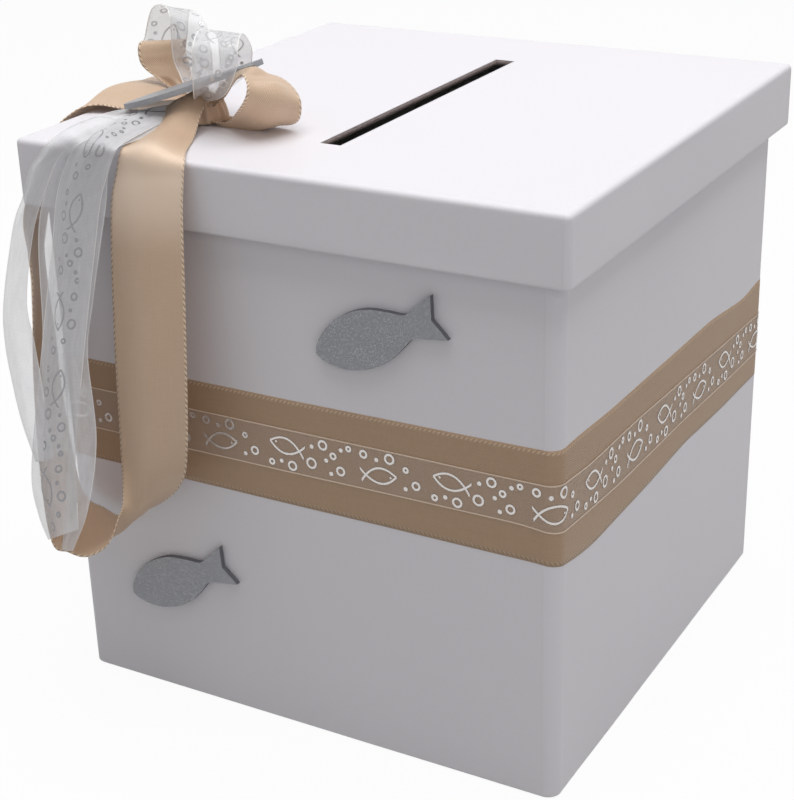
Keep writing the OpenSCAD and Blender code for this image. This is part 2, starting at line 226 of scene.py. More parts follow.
def make_satin_weave():
    """Twill: two sine waves over slanted lines, Pitch apart, make the threads, and noises drawn out along and
    across the strip make a painted sheen wander over them. Inset from each edge runs a row of slanted
    stitches, one to each Stitch of length, with a gap after each, marked for painted shade."""
    tree, given, out = new_group(
        "satin weave", STRIP | {"Pitch": 0.64, "Stitch": 2.1, "Inset": 0.5},
        ["Tone", "Height", "Edge", "Gap shade"])
    across, along = given["Across"], given["Along"]
    turn = maths(tree, "DIVIDE", FULL_TURN, given["Pitch"])
    slant = maths(tree, "SINE", times(tree, added(tree, across, times(tree, along, 0.55)), turn))
    cross = maths(tree, "SINE", times(tree, minus(tree, times(tree, across, 0.6), along), turn))
    threads = times(tree, added(tree, slant, times(tree, cross, 0.7)), 0.5)
    streak = noise(tree, vectored(tree, times(tree, across, 2.2), times(tree, along, 0.05)), 1.0)
    rib = noise(tree, vectored(tree, times(tree, across, 0.12), times(tree, along, 2.6)), 1.0)
    # Real twill threads plus two noises that paint a wandering sheen.
    shine = added(tree, times(tree, threads, 0.8), times(tree, streak, 0.5), times(tree, rib, 0.5))
    rim = from_edge(tree, given)
    lean = added(tree, along, times(tree, rim, 0.9))
    wave = maths(tree, "SINE", times(tree, lean, maths(tree, "DIVIDE", FULL_TURN, given["Stitch"])))
    near = ramp(tree, maths(tree, "ABSOLUTE", minus(tree, rim, given["Inset"])), 0.6, 0.4)
    stitch = times(tree, near, ramp(tree, wave, -0.35, 0.25))
    feed(tree, shine, out["Tone"])
    feed(tree, added(tree, threads, times(tree, stitch, 3.0)), out["Height"])
    feed(tree, stitch, out["Edge"])
    feed(tree, times(tree, near, ramp(tree, wave, -0.3, -0.8)), out["Gap shade"])
    return tree


def make_gauze():
    """Organza: an open mesh of crossing sine waves, slowly clouded by a noise, with a dense woven edge."""
    tree, given, out = new_group("gauze", STRIP, ["Cover", "Edge", "Height"])
    across, along = given["Across"], given["Along"]
    warp, weft = (maths(tree, "SINE", times(tree, way, 13.0)) for way in (across, along))
    mesh = times(tree, added(tree, warp, weft), 0.5)
    cloud = noise(tree, vectored(tree, times(tree, across, 0.5), times(tree, along, 0.12)), 1.0, 3.0)
    feed(tree, added(tree, 0.75, times(tree, mesh, 0.18), times(tree, cloud, 0.5)), out["Cover"])
    feed(tree, ramp(tree, from_edge(tree, given), 0.75, 0.35), out["Edge"])
    feed(tree, mesh, out["Height"])
    return tree


# The printed fish: height of its two arcs, half the length between their crossings, and its two ends.
ARC_HEIGHT, ARC_HALF = 2.8, 5.9
NOSE_END, TAIL_END = -6.1, 7.9


def make_fish_mark():
    """Outline of a fish from two parabolas that meet at the nose and cross at the tail: a point is on it
    where its height differs little from either, measured square to the curve. The eye is a small disc."""
    tree, given, out = new_group("fish mark", MARK | {"Turn": 0.0}, ["Mark"])
    along, across = from_mark(tree, given)
    cosine, sine = (maths(tree, kind, given["Turn"]) for kind in ("COSINE", "SINE"))
    x = added(tree, times(tree, along, cosine), times(tree, across, sine))
    y = minus(tree, times(tree, across, cosine), times(tree, along, sine))
    arc = minus(tree, ARC_HEIGHT, times(tree, x, x, ARC_HEIGHT / ARC_HALF ** 2))
    slope = times(tree, x, 2 * ARC_HEIGHT / ARC_HALF ** 2)
    steep = maths(tree, "SQRT", added(tree, 1.0, times(tree, slope, slope)))
    lines = []
    for side in (1.0, -1.0):
        gap = maths(tree, "ABSOLUTE", minus(tree, y, times(tree, arc, side)))
        gap = maths(tree, "DIVIDE", gap, steep)
        lines.append(ramp(tree, gap, given["Line"], times(tree, given["Line"], 0.55)))
    inside = times(tree, maths(tree, "GREATER_THAN", x, NOSE_END), maths(tree, "LESS_THAN", x, TAIL_END))
    eye = maths(tree, "LESS_THAN", squares(tree, added(tree, x, 3.7), minus(tree, y, 0.4)), 0.4 ** 2)
    feed(tree, larger(tree, times(tree, larger(tree, *lines), inside), eye), out["Mark"])
    return tree


def make_ring_mark():
    """A ring, or a dot where the radius is nothing: a point is on it where its distance to the middle is near
    the radius."""
    tree, given, out = new_group("ring mark", MARK | {"Radius": 1.5}, ["Mark"])
    length = maths(tree, "SQRT", squares(tree, *from_mark(tree, given)))
    gap = maths(tree, "ABSOLUTE", minus(tree, length, given["Radius"]))
    feed(tree, ramp(tree, gap, given["Line"], times(tree, given["Line"], 0.6)), out["Mark"])
    return tree


# One repeat of the print. Fish: across from the middle, along, turn. Ring: across, along, radius (dot: 0).
PRINT_REPEAT = 64.0
FISH_MARKS = [(1.7, 10, -0.16), (-1.7, 48, 3.26)]
RING_MARKS = [
    (-5.2, 4.4, 0.9), (-4.2, 8.4, 0.0), (-5.2, 12.8, 1.5), (-2.6, 20.6, 1.7), (3.6, 21.0, 0.0),
    (4.9, 25.4, 1.5), (-0.4, 26.6, 0.0), (1.7, 29.4, 1.0), (-5.0, 28.4, 0.0), (-3.3, 32.2, 1.4),
    (4.5, 32.6, 0.0), (5.6, 35.6, 0.8), (4.9, 41.4, 1.2), (3.9, 46.4, 0.0), (5.1, 51.4, 1.6),
    (2.4, 57.6, 0.8), (-4.5, 57.4, 0.0), (-2.6, 61.4, 1.3),
]
RING_LINE, DOT_RADIUS = 0.52, 1.05


def make_ribbon_print(fish_mark, ring_mark):
    """Raised print of fish outlines, rings and dots, repeated all along the strip."""
    tree, given, out = new_group("ribbon print", STRIP, ["Mark"])
    place = {"Across": minus(tree, given["Across"], times(tree, given["Width"], 0.5)),
             "Along": given["Along"], "Repeat": PRINT_REPEAT}
    marks = [use(tree, fish_mark, At_across=across, At_along=along, Turn=turn, **place)["Mark"]
             for across, along, turn in FISH_MARKS]
    for across, along, radius in RING_MARKS:
        ring = use(tree, ring_mark, At_across=across, At_along=along, Radius=radius,
                   Line=RING_LINE if radius else DOT_RADIUS, **place)
        marks.append(ring["Mark"])
    feed(tree, larger(tree, *marks), out["Mark"])
    return tree


def make_glitter():
    """Metallic paint: small flakes of differing shade over a fine grain."""
    tree, given, out = new_group(
        "glitter paint", {"Place": None, "Flake": 3600.0}, ["Spark", "Tone", "Height"])
    cells = tree.nodes.new("ShaderNodeTexVoronoi")
    feed(tree, given["Place"], cells.inputs["Vector"])
    feed(tree, given["Flake"], cells.inputs["Scale"])
    red, green, _ = parts_of(tree, cells.outputs["Color"])
    grain = noise(tree, given["Place"], 900.0, 3.0, 0.6)
    feed(tree, maths(tree, "GREATER_THAN", red, 0.86), out["Spark"])
    feed(tree, added(tree, times(tree, green, 0.5), times(tree, grain, 0.5)), out["Tone"])
    feed(tree, grain, out["Height"])
    return tree


PAPER_GRAIN = make_paper_grain()
SATIN_WEAVE = make_satin_weave()
GAUZE = make_gauze()
RIBBON_PRINT = make_ribbon_print(make_fish_mark(), make_ring_mark())
GLITTER = make_glitter()


# ---------------------------------------------------------------- materials

def cover_paper():
    """White covering paper, faintly mottled, with a soft gloss."""
    material, tree, shader = new_material("white cover paper", Specular_IOR_Level=0.4)
    grain = use(tree, PAPER_GRAIN, Place=object_place(tree), Size=700.0, Cloud=14.0)
    colour = blended(tree, grain["Fleck"], (0.805, 0.782, 0.822, 1), (0.872, 0.851, 0.888, 1))
    coat(tree, shader, colour, grain["Height"], 0.12, 0.0003)
    feed(tree, ramp(tree, grain["Fleck"], 0.3, 0.7, 0.44, 0.58), shader.inputs["Roughness"])
    return material


def lining_paper():
    """Plain uncoated white paper inside the box."""
    material, tree, shader = new_material("lining paper", Roughness=0.85)
    grain = use(tree, PAPER_GRAIN, Place=object_place(tree), Size=1200.0, Cloud=30.0)
    colour = blended(tree, grain["Fleck"], (0.72, 0.71, 0.69, 1), (0.80, 0.79, 0.77, 1))
    coat(tree, shader, colour, grain["Height"], 0.25, 0.0002)
    return material


def grey_board():
    """Raw grey-brown board, layered and fibrous, made lighter than its own colour as painted light in the
    shaded slot.
    """
    material, tree, shader = new_material("grey board", Roughness=0.95)
    place = object_place(tree)
    fibres = noise(tree, stretched(tree, place, 1, 1, 6), 450.0, 4.0, 0.65)
    specks = noise(tree, place, 1500.0)
    tone = added(tree, times(tree, fibres, 0.7), times(tree, specks, 0.3))
    # Both greys are lightened as painted light, for the board seen in the slot's shade.
    colour = blended(tree, ramp(tree, tone, 0.3, 0.7), (0.24, 0.19, 0.18, 1), (0.50, 0.42, 0.40, 1))
    coat(tree, shader, colour, tone, 0.6, 0.0003)
    return material


def kraft_tape():
    """Brown kraft corner tape with long fibres."""
    material, tree, shader = new_material("kraft tape", Roughness=0.8)
    fibres = noise(tree, stretched(tree, object_place(tree), 1, 1, 0.15), 900.0, 3.0)
    colour = blended(tree, fibres, (0.30, 0.18, 0.09, 1), (0.45, 0.29, 0.16, 1))
    coat(tree, shader, colour, fibres, 0.3, 0.0002)
    return material


def clear_tape():
    """Clear adhesive tape over the band's ends."""
    material, tree, shader = new_material("clear tape", Roughness=0.15, IOR=1.45)
    cloud = noise(tree, object_place(tree), 120.0)
    coat(tree, shader, blended(tree, cloud, (0.80, 0.78, 0.72, 1), (0.92, 0.90, 0.86, 1)), cloud, 0.1, 0.0002)
    feed(tree, ramp(tree, cloud, 0.2, 0.8, 0.12, 0.25), shader.inputs["Alpha"])
    return material


def hot_glue():
    """Milky hot glue with a wavy skin."""
    material, tree, shader = new_material("hot glue", Roughness=0.3, IOR=1.48, Alpha=0.4)
    wave = noise(tree, object_place(tree), 260.0)
    coat(tree, shader, blended(tree, wave, (0.62, 0.57, 0.46, 1), (0.78, 0.74, 0.64, 1)), wave, 0.5, 0.0006)
    return material


def satin(name, width, dark, light, edge_colour, sheen=0.25, stitch=2.1, inset=0.45, gleam=None, contrast=1.0,
          gloss=0.45):
    """Champagne satin: a painted sheen runs along the strip between the dark and light colours, and a row of
    pale slanted stitches, their brightness partly a painted highlight, follows each edge, with painted shade
    in the gaps. A gleam is (middle, half length) of a lighter stretch, a painted highlight, in millimetres
    along."""
    material, tree, shader = new_material(
        name, Specular_IOR_Level=gloss, Sheen_Weight=sheen, Sheen_Roughness=0.4,
        Sheen_Tint=(1.0, 0.9, 0.78, 1))
    across, along = cloth_place(tree)
    weave = use(tree, SATIN_WEAVE, Across=across, Along=along, Width=width, Stitch=stitch, Inset=inset)
    # Painted sheen: the colour runs between the dark and light tones with the weave's tone.
    colour = blended(tree, ramp(tree, weave["Tone"], 0.25, 0.75), dark, light)
    # Painted highlight: a lighter stretch along the strip.
    if gleam:
        away = maths(tree, "ABSOLUTE", minus(tree, along, gleam[0]))
        colour = blended(tree, ramp(tree, away, gleam[1], 0.0), colour, (1.0, 0.785, 0.615, 1))
    # Painted shade darkens the gaps between the stitches.
    colour = blended(tree, times(tree, weave["Gap shade"], 0.55 * contrast), colour, (0.26, 0.17, 0.11, 1))
    # Pale stitches; their brightness is partly a painted highlight on the glossy beads.
    colour = blended(tree, times(tree, weave["Edge"], 0.8 * contrast), colour, edge_colour)
    coat(tree, shader, colour, weave["Height"], 0.35, 0.00012)
    feed(tree, ramp(tree, weave["Tone"], 0.2, 0.8, 0.36, 0.50), shader.inputs["Roughness"])
    return material


def organza(name, width, cover, colour, edge_colour, edge_cover, print_colour=None, glow=0.0):
    """Sheer organza with a woven edge and, given a print colour, raised silver fish and rings. The glow
    stands for light that comes through the cloth from behind."""
    material, tree, shader = new_material(
        name, Specular_IOR_Level=0.5, Sheen_Weight=0.3, Sheen_Roughness=0.5, Emission_Strength=glow)
    across, along = cloth_place(tree)
    gauze = use(tree, GAUZE, Across=across, Along=along, Width=width)
    alpha = larger(tree, times(tree, gauze["Cover"], cover), times(tree, gauze["Edge"], edge_cover))
    tone = blended(tree, gauze["Edge"], colour, edge_colour)
    height = times(tree, gauze["Height"], 0.2)
    rough = 0.5
    if print_colour:
        mark = use(tree, RIBBON_PRINT, Across=across, Along=along, Width=width)["Mark"]
        tone = blended(tree, mark, tone, print_colour)
        alpha = larger(tree, alpha, times(tree, mark, 0.95))
        height = added(tree, height, times(tree, mark, 1.6))
        rough = ramp(tree, mark, 0.2, 0.8, rough, 0.25)
        feed(tree, times(tree, mark, 0.55), shader.inputs["Metallic"])
    coat(tree, shader, tone, height, 0.5, 0.0002)
    feed(tree, tone, shader.inputs["Emission Color"])
    feed(tree, rough, shader.inputs["Roughness"])
    feed(tree, alpha, shader.inputs["Alpha"])
    return material


def silver_paint():
    """Silver-grey paint with fine glitter on the wooden fish."""
    material, tree, shader = new_material("silver fish paint", Specular_IOR_Level=0.5)
    glitter = use(tree, GLITTER, Place=object_place(tree))
    colour = blended(tree, glitter["Tone"], (0.26, 0.265, 0.285, 1), (0.32, 0.325, 0.345, 1))
    colour = blended(tree, times(tree, glitter["Spark"], 0.18), colour, (0.62, 0.63, 0.66, 1))
    coat(tree, shader, colour, glitter["Height"], 0.4, 0.0002)
    feed(tree, added(tree, 0.25, times(tree, glitter["Spark"], 0.5)), shader.inputs["Metallic"])
    feed(tree, ramp(tree, glitter["Tone"], 0.2, 0.8, 0.35, 0.55), shader.inputs["Roughness"])
    return material


def fish_edge_shade():
    """The fish's cut edge: layered wood, its dark colour painted shade."""
    material, tree, shader = new_material("fish cut edge shade", Roughness=0.7)
    ply = noise(tree, stretched(tree, object_place(tree), 1, 3, 1), 500.0, 3.0)
    coat(tree, shader, blended(tree, ply, (0.10, 0.10, 0.11, 1), (0.17, 0.17, 0.185, 1)), ply, 0.4, 0.0002)
    return material


# ---------------------------------------------------------------- shapes

def smooth_line(stations, steps):
    """Catmull-Rom curve: each stretch is the cubic that passes its two points in the direction between their
    neighbours."""
    p = np.vstack([2 * stations[0] - stations[1], stations, 2 * stations[-1] - stations[-2]])
    t = np.linspace(0, 1, steps, endpoint=False)[None, :, None]
    a, b, c, d = p[:-3, None], p[1:-2, None], p[2:-1, None], p[3:, None]
    curve = 0.5 * (2 * b + (c - a) * t
                   + (2 * a - 5 * b + 4 * c - d) * t ** 2 + (3 * b - a - 3 * c + d) * t ** 3)
    return np.vstack([curve.reshape(-1, stations.shape[1]), stations[-1:]])


def surface(name, points, around=False, along=False, cloth=None):
    """Mesh of four-sided faces over a grid of points in millimetres; around and along join the last column
    or row to the first. cloth holds each grid point's own (across, along) in millimetres, with one row or
    column more where the grid is joined."""
    rows, columns = points.shape[:2]
    number = np.arange(rows * columns).reshape(rows, columns)
    i = np.arange(rows if along else rows - 1)[:, None]
    j = np.arange(columns if around else columns - 1)[None, :]
    corners = [(i, j), (i, j + 1), (i + 1, j + 1), (i + 1, j)]
    faces = np.stack([number[a % rows, b % columns] for a, b in corners], -1).reshape(-1, 4)
    mesh = bpy.data.meshes.new(name)
    mesh.from_pydata((points.reshape(-1, 3) * MM).tolist(), [], faces.tolist())
    mesh.polygons.foreach_set("use_smooth", np.ones(len(faces), bool))
    if cloth is not None:
        places = np.stack([cloth[a, b] for a, b in corners], -2).reshape(-1, 2) * MM
        layer = mesh.uv_layers.new(name="cloth")
        layer.data.foreach_set("uv", places.ravel())
    mesh.update()
    piece = bpy.data.objects.new(name, mesh)
    bpy.context.scene.collection.objects.link(piece)
    return piece


def thicken(piece, thickness, offset=0.0, rim=0):
    """Gives a sheet its thickness in millimetres."""
    solid = piece.modifiers.new("thickness", "SOLIDIFY")
    solid.thickness = thickness * MM
    solid.offset = offset
    solid.use_even_offset = False
    solid.material_offset_rim = rim


def dress(piece, body, materials, node):
    """Gives a piece its materials and its body, and hides the CAD node that it stands for."""
    for material in materials:
        piece.data.materials.append(material)
    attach(piece, body)
    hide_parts(node)


# ---------------------------------------------------------------- covering paper

BODY_HALF, BODY_CORNER = 100, 5  # half the side of the box and the radius of its upright corners
LID_HALF, LID_CORNER = 105, 2
EDGE_BEND = 0.9  # radius of the paper round a board's edge
BODY_BEND_Z, LID_BEND_Z = 209.5, 190.0  # middle of that bend at the box's top and at the lid's lower edge
LID_TOP, LID_SHOULDER = 213.0, 1.9  # the lid's top face and the radius of its upper edge
SLOT_HALF = np.array([4.0, 67.0])
CORNER_DETAIL = [0.002, 0.004, 0.006, 0.009, 0.014, 0.03, 0.06]  # extra points near a corner, in half sides


def square_path(side_steps, corner_steps, corner_detail):
    """The way round a square with round corners, anticlockwise from above, as four rows: the corner circle's
    centre in half sides (x, y) and the outward direction (x, y)."""
    ease = np.linspace(-1, 1, side_steps)
    near = np.array(corner_detail)
    ease = np.unique(np.concatenate([ease, -1 + near, 1 - near]))
    ease = ease[(ease > -1) & (ease < 1)]
    angle = np.linspace(0, np.pi / 2, corner_steps)
    rows = []
    for k in range(4):
        a = (k - 1) * np.pi / 2
        out = np.array([np.cos(a), np.sin(a)])
        along = np.array([-np.sin(a), np.cos(a)])
        centre = out[:, None] + along[:, None] * ease
        rows.append(np.vstack([centre, np.repeat(out[:, None], len(ease), 1)]))
        corner = np.repeat((out + along)[:, None], corner_steps, 1)
        rows.append(np.vstack([corner, np.cos(a + angle), np.sin(a + angle)]))
    return np.hstack(rows)


def wrapped_square(path, half, radius, inset, height, hole=None, reach=None, swell=0):
    """Profile carried round the square: each profile point is an inset from the outside and a height. Where
    reach is above 0 the ring changes steadily into the rectangular hole, given by its half sides."""
    cx, cy, nx, ny = path
    r = np.maximum(radius - inset, 0.02)[:, None]
    h = (half - inset)[:, None] - r
    x = cx * h + nx * (r + swell)
    y = cy * h + ny * (r + swell)
    if hole is not None:
        t = reach[:, None]
        x = x * (1 - t) + cx * hole[0] * t
        y = y * (1 - t) + cy * hole[1] * t
    return np.stack([x, y, np.broadcast_to(height[:, None], x.shape)], -1)


def along_side(path):
    """Place along each side, -1 to 1."""
    cx, cy, nx, ny = path
    return np.where(np.abs(nx) > np.abs(ny), cy, cx)


def waves(path, z, size):
    """Gentle hollows of the wall, none at the back: a sum of slow sines of the place along each side and the
    height, which fades out at the corners."""
    nx, ny = path[2:]
    side, z = along_side(path), z / 100
    bulge = np.cos(side * 4.1 + z * 2.3 + nx * 2)
    bulge = bulge + 0.6 * np.sin(side * 9.0 - z * 3.1 + ny * 1.7) + 0.4 * np.sin(z * 9 + side * 3)
    return size * bulge * (1 - side ** 8) * (ny < 0.9)


def ridges(path, z, flat, size, width):
    """The paper's fine ridge at each end of a corner's rounding: a narrow bell curve of the distance from
    there, weaker towards the bottom."""
    nx, ny = path[2:]
    straight = (np.abs(nx) > 0.999) | (np.abs(ny) > 0.999)
    distance = np.where(straight, (1 - np.abs(along_side(path))) * flat, 9.0)
    fade = np.clip((z - 8) / 40, 0.15, 1)
    return size * np.exp(-(distance / width) ** 2) * fade


def body_cover():
    """Covering paper of the box: one closed profile, up the outside, over the wall's top edge, down inside
    and back."""
    path = square_path(41, 15, CORNER_DETAIL)
    bend = np.linspace(0, np.pi / 2, 6)
    outside_z = np.concatenate([np.linspace(1.2, 30, 8), np.linspace(36, 209, 30)])
    profile = [(18, 0.31), (1.2, 0.31)]
    profile += [(0.8 - 0.8 * math.sin(a), 1.1 - 0.79 * math.cos(a)) for a in bend]
    profile += [(0.0, z) for z in outside_z]
    profile += [(EDGE_BEND * (1 - math.cos(a)), BODY_BEND_Z + EDGE_BEND * math.sin(a)) for a in bend]
    profile += [(1.9 + EDGE_BEND * math.sin(a), BODY_BEND_Z + EDGE_BEND * math.cos(a)) for a in bend]
    profile += [(2.8, 205), (2.8, 200), (2.8, 195.1), (2.52, 195.1), (2.52, 209.2), (2.0, 210.08),
                (0.9, 210.08), (0.32, 209.4), (0.32, 1.2), (0.8, 0.62), (18, 0.6)]
    inset, height = np.array(profile).T
    outer = (inset < 0.3)[:, None]
    z = height[:, None]
    swell = np.where(outer, waves(path, z, 0.07) + ridges(path, z, BODY_HALF - BODY_CORNER, 0.1, 0.35), 0)
    points = wrapped_square(path, BODY_HALF, BODY_CORNER, inset, height, swell=swell)
    return surface("body_cover_paper", points, around=True, along=True)


def lid_cover():
    """Covering paper of the lid: one closed profile from inside the rim, round its lower edge, up, over the
    rounded top edge and a fine crease, across to the slot and back under."""
    path = square_path(41, 9, CORNER_DETAIL)
    bend = np.linspace(0, np.pi / 2, 8)
    profile = [(2.8, 204, 0), (2.8, 198, 0), (2.8, 190.2, 0)]
    profile += [(1.9 + EDGE_BEND * math.cos(a), LID_BEND_Z - 0.98 * math.sin(a), 0) for a in bend]
    profile += [(EDGE_BEND * (1 - math.sin(a)), LID_BEND_Z - 0.98 * math.cos(a), 0) for a in bend]
    profile += [(0.0, z, 0) for z in np.linspace(191, 210.4, 12)]
    profile += [(LID_SHOULDER * (1 - math.cos(a)), LID_TOP - LID_SHOULDER * (1 - math.sin(a)), 0)
                for a in bend]
    profile += [(2.4, 212.97, 0), (2.8, 212.9, 0), (3.0, 212.88, 0), (3.2, 212.93, 0), (3.6, 213.0, 0),
                (5, 213.0, 0)]
    profile += [(8, LID_TOP, t) for t in (0, 0.08, 0.2, 0.35, 0.5, 0.65, 0.8, 0.9, 0.97, 0.992)]
    profile += [(8, 212.95, 1), (8, 212.72, 1), (8, 212.7, 0.5), (8, 212.7, 0), (2.5, 212.7, 0),
                (1.3, 212.3, 0), (0.6, 211.5, 0), (0.32, 210.5, 0), (0.32, 205, 0), (0.32, 190.6, 0),
                (1.0, 189.35, 0), (2.0, 189.35, 0), (2.52, 190.6, 0), (2.52, 204, 0)]
    inset, height, reach = np.array(profile).T
    outer = ((inset < 0.3) & (height > 190.5) & (height < 211))[:, None]
    z = height[:, None]
    swell = np.where(outer, waves(path, 3 * z, 0.05) + ridges(path, z, LID_HALF - LID_CORNER, 0.14, 0.3), 0)
    points = wrapped_square(
        path, LID_HALF, LID_CORNER, inset, height, hole=SLOT_HALF, reach=reach, swell=swell)
    return surface("lid_cover_paper", points, around=True, along=True)


def lid_board():
    """Top board of the lid: one closed profile over its crushed, rounded upper edge, in to the slot and back
    below."""
    path = square_path(9, 7, [0.01, 0.04])
    profile = [(0.55, 210.75, 0)]
    profile += [(2.25 - 1.7 * math.cos(a), 210.95 + 1.7 * math.sin(a), 0)
                for a in np.linspace(0, np.pi / 2, 7)]
    profile += [(5, 212.66, 0), (8, 212.66, 0), (8, 212.66, 1), (8, 211.7, 1), (8, 210.75, 1), (8, 210.75, 0)]
    inset, height, reach = np.array(profile).T
    points = wrapped_square(path, LID_HALF, LID_CORNER, inset, height, hole=SLOT_HALF + 0.02, reach=reach)
    return surface("lid_top_board_rounded", points, around=True, along=True)


def lid_lining():
    """Lining sheet under the lid's top board: a flat closed profile whose slot stands back a little from the
    board's."""
    path = square_path(9, 5, [0.03])
    profile = [(3.0, 210.68, 0), (6, 210.68, 0), (8, 210.68, 1),
               (8, 210.46, 1), (6, 210.46, 0), (3.0, 210.46, 0)]
    inset, height, reach = np.array(profile).T
    points = wrapped_square(path, LID_HALF, LID_CORNER, inset, height, hole=SLOT_HALF + 1.8, reach=reach)
    return surface("lid_lining_sheet", points[::-1], around=True, along=True)


# ---------------------------------------------------------------- bands

def band_strip(name, clearance, levels_low, levels_high, columns, width, lift):
    """Flat strip round the box: every point of the way round has a lower and an upper height, smooth between
    a few given ones, and the strip runs straight between them, lifted a little in slow sines."""
    path = square_path(61, 11, [0.01, 0.03])
    base = wrapped_square(path, BODY_HALF + clearance, BODY_CORNER + clearance, np.zeros(1), np.zeros(1))[0]
    start = -np.argmin(np.abs(base[:, 0]) + (base[:, 1] < 0) * 999)
    base = np.roll(base, start, axis=0)
    path = np.roll(path, start, axis=1)
    step = np.linalg.norm(np.roll(base, -1, 0) - base, axis=1)
    travel = np.concatenate([[0], np.cumsum(step)])
    total = travel[-1]

    def level(knots):
        knots = np.array(knots, float)
        wide = np.concatenate([knots[:, 0] - 1, knots[:, 0], knots[:, 0] + 1])
        fine = np.linspace(-0.1, 1.1, 1201)
        raw = np.interp(fine, wide, np.tile(knots[:, 1], 3))
        soft = np.convolve(raw, np.hanning(31) / np.hanning(31).sum(), mode="same")
        return np.interp(travel[:-1] / total, fine, soft)

    low, high = level(levels_low), level(levels_high)
    u = np.linspace(0, 1, columns)
    z = low[:, None] * (1 - u) + high[:, None] * u
    puff = lift * (0.5 + 0.5 * np.sin(travel[:-1, None] / 23 + u * 2.5)) * np.sin(np.pi * u)
    puff = puff + waves(path[:, :, None], z, 0.07)
    flat = base[:, None, :2] + path[2:].T[:, None] * puff[..., None]
    points = np.concatenate([flat, z[..., None]], -1)
    cloth = np.stack(np.broadcast_arrays(u * width, travel[:, None]), -1)
    return surface(name, points, along=True, cloth=cloth), total


# Heights at shares of the way round from the middle of the back, anticlockwise from above: the left corner
# at the back is at 0.125, the left side ends at 0.375, the front at 0.625 and the right side at 0.875.
SATIN_LOW = [
    (0, 86), (0.12, 86), (0.2, 87), (0.3, 89), (0.365, 92), (0.385, 92), (0.5, 92), (0.622, 92), (0.64, 89),
    (0.66, 87), (0.72, 87), (0.77, 88), (0.82, 86), (0.87, 85), (0.9, 86)]
SATIN_HIGH = [
    (0, 126), (0.12, 127), (0.2, 127), (0.3, 129), (0.365, 132), (0.385, 132), (0.5, 132), (0.622, 133),
    (0.64, 133), (0.68, 131), (0.74, 130), (0.8, 129), (0.845, 125), (0.87, 127), (0.9, 126)]
ORGANZA_LOW = [
    (0, 96), (0.12, 97), (0.2, 98), (0.3, 101), (0.365, 104), (0.385, 104.5), (0.5, 104.5), (0.61, 105),
    (0.63, 103), (0.69, 99.5), (0.76, 98.5), (0.83, 96), (0.87, 95), (0.9, 95)]
ORGANZA_HIGH = [
    (0, 112), (0.12, 113), (0.2, 114), (0.3, 117), (0.365, 120), (0.385, 121), (0.5, 121), (0.61, 121),
    (0.63, 121), (0.655, 119), (0.71, 118), (0.79, 115), (0.87, 112), (0.9, 112)]


# ---------------------------------------------------------------- bow

